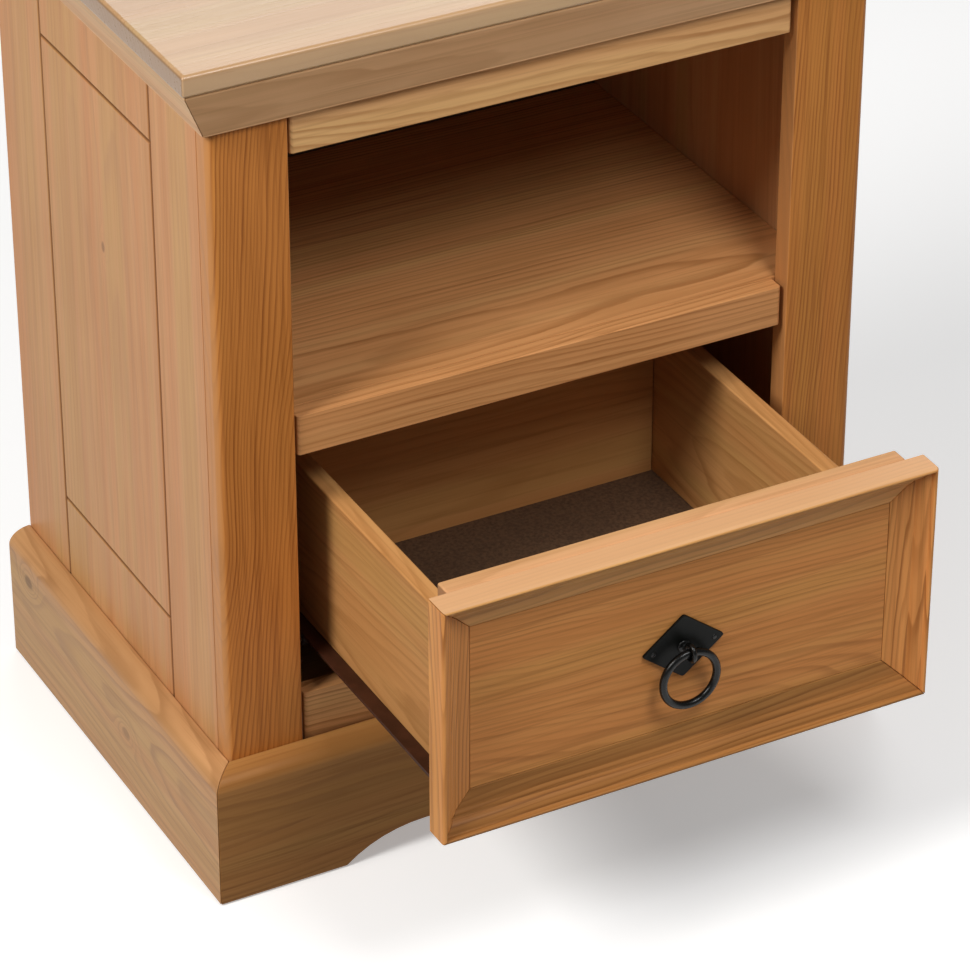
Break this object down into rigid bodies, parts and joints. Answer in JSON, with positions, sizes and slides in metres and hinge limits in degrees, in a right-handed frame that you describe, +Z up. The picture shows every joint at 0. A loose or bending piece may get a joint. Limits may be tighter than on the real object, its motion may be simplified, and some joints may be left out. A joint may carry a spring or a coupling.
{
  "type": "nightstand",
  "caption": "Face-framed pine nightstand with a moulded plinth and cornice, an open compartment above an inset drawer, and a black iron ring pull.",
  "frame": {"origin": "middle of the footprint at floor level, with the drawer drawn out as stored", "axes": "+Z up, -Y the front towards which the drawer opens, +X to the right seen from the front"},
  "size_m": [0.485, 0.4865, 0.572],
  "materials": {
    "top_pine": "satin, pale",
    "moulding_pine": "satin",
    "frame_pine": "satin, strong growth lines",
    "side_pine": "satin, fine upright grain",
    "plinth_pine": "satin, small knots",
    "inside_pine": "dull; in deep shade, so its finish is guessed",
    "drawer_pine": "satin",
    "box_pine": "smooth, paler than the rest",
    "hardboard": "dull, smooth; the material is assumed",
    "brown_steel": "dark brown, satin",
    "nylon": "dark brown, satin; barely in sight, so assumed",
    "zinc_steel": "bare grey; out of sight, so assumed",
    "black_iron": "matte black"
  },
  "bodies": {
    "cabinet": {"top_board": "top_pine", "cornice_front": "moulding_pine", "cornice_left": "moulding_pine", "cornice_right": "moulding_pine", "face_stile_left": "frame_pine", "face_stile_right": "frame_pine", "top_rail": "frame_pine", "middle_rail": "frame_pine", "bottom_rail": "frame_pine", "shelf_board": "frame_pine", "side_left": "side_pine", "side_right": "side_pine", "floor_board": "inside_pine", "back_stretcher": "inside_pine", "runner_batten_left": "inside_pine", "runner_batten_right": "inside_pine", "back_panel": "hardboard", "plinth_front": "plinth_pine", "plinth_left": "plinth_pine", "plinth_right": "plinth_pine", "cabinet_runner_left": "brown_steel", "cabinet_runner_right": "brown_steel", "front_roller_pin_left": "zinc_steel", "front_roller_pin_right": "zinc_steel"},
    "drawer": {"drawer_panel": "drawer_pine", "drawer_frame_top": "drawer_pine", "drawer_frame_bottom": "drawer_pine", "drawer_frame_left": "drawer_pine", "drawer_frame_right": "drawer_pine", "drawer_box_front": "box_pine", "drawer_side_left": "box_pine", "drawer_side_right": "box_pine", "drawer_back": "box_pine", "drawer_bottom": "hardboard", "drawer_runner_left": "brown_steel", "drawer_runner_right": "brown_steel", "rear_roller_pin_left": "zinc_steel", "rear_roller_pin_right": "zinc_steel", "handle_plate": "black_iron", "handle_eye": "black_iron", "handle_nut": "zinc_steel"},
    "ring": {"handle_ring": "black_iron"},
    "front_roller_left": {"front_roller_left": "nylon"},
    "front_roller_right": {"front_roller_right": "nylon"},
    "rear_roller_left": {"rear_roller_left": "nylon"},
    "rear_roller_right": {"rear_roller_right": "nylon"}
  },
  "joints": [
    {"name": "drawer_slide", "type": "slide", "parent": "cabinet", "child": "drawer", "axis": [0, -1, 0], "range_m": [-0.18, 0.015]},
    {"name": "ring_swing", "type": "hinge", "parent": "drawer", "child": "ring", "pos_m": [0, -0.2371, 0.20775], "axis": [-1, 0, 0], "range_deg": [-9, 170]},
    {"name": "front_roller_left_turn", "type": "hinge", "parent": "cabinet", "child": "front_roller_left", "pos_m": [-0.1491, -0.023, 0.141], "axis": [1, 0, 0], "continuous": true},
    {"name": "rear_roller_left_turn", "type": "hinge", "parent": "drawer", "child": "rear_roller_left", "pos_m": [-0.1624, 0.021, 0.141], "axis": [1, 0, 0], "continuous": true},
    {"name": "front_roller_right_turn", "type": "hinge", "parent": "cabinet", "child": "front_roller_right", "pos_m": [0.1491, -0.023, 0.141], "axis": [1, 0, 0], "continuous": true},
    {"name": "rear_roller_right_turn", "type": "hinge", "parent": "drawer", "child": "rear_roller_right", "pos_m": [0.1624, 0.021, 0.141], "axis": [1, 0, 0], "continuous": true}
  ],
  "couplings": [
    {"joint": "front_roller_left_turn", "follows": "drawer_slide", "rad_per_m": 153.85},
    {"joint": "rear_roller_left_turn", "follows": "drawer_slide", "rad_per_m": 153.85},
    {"joint": "front_roller_right_turn", "follows": "drawer_slide", "rad_per_m": 153.85},
    {"joint": "rear_roller_right_turn", "follows": "drawer_slide", "rad_per_m": 153.85}
  ]
}
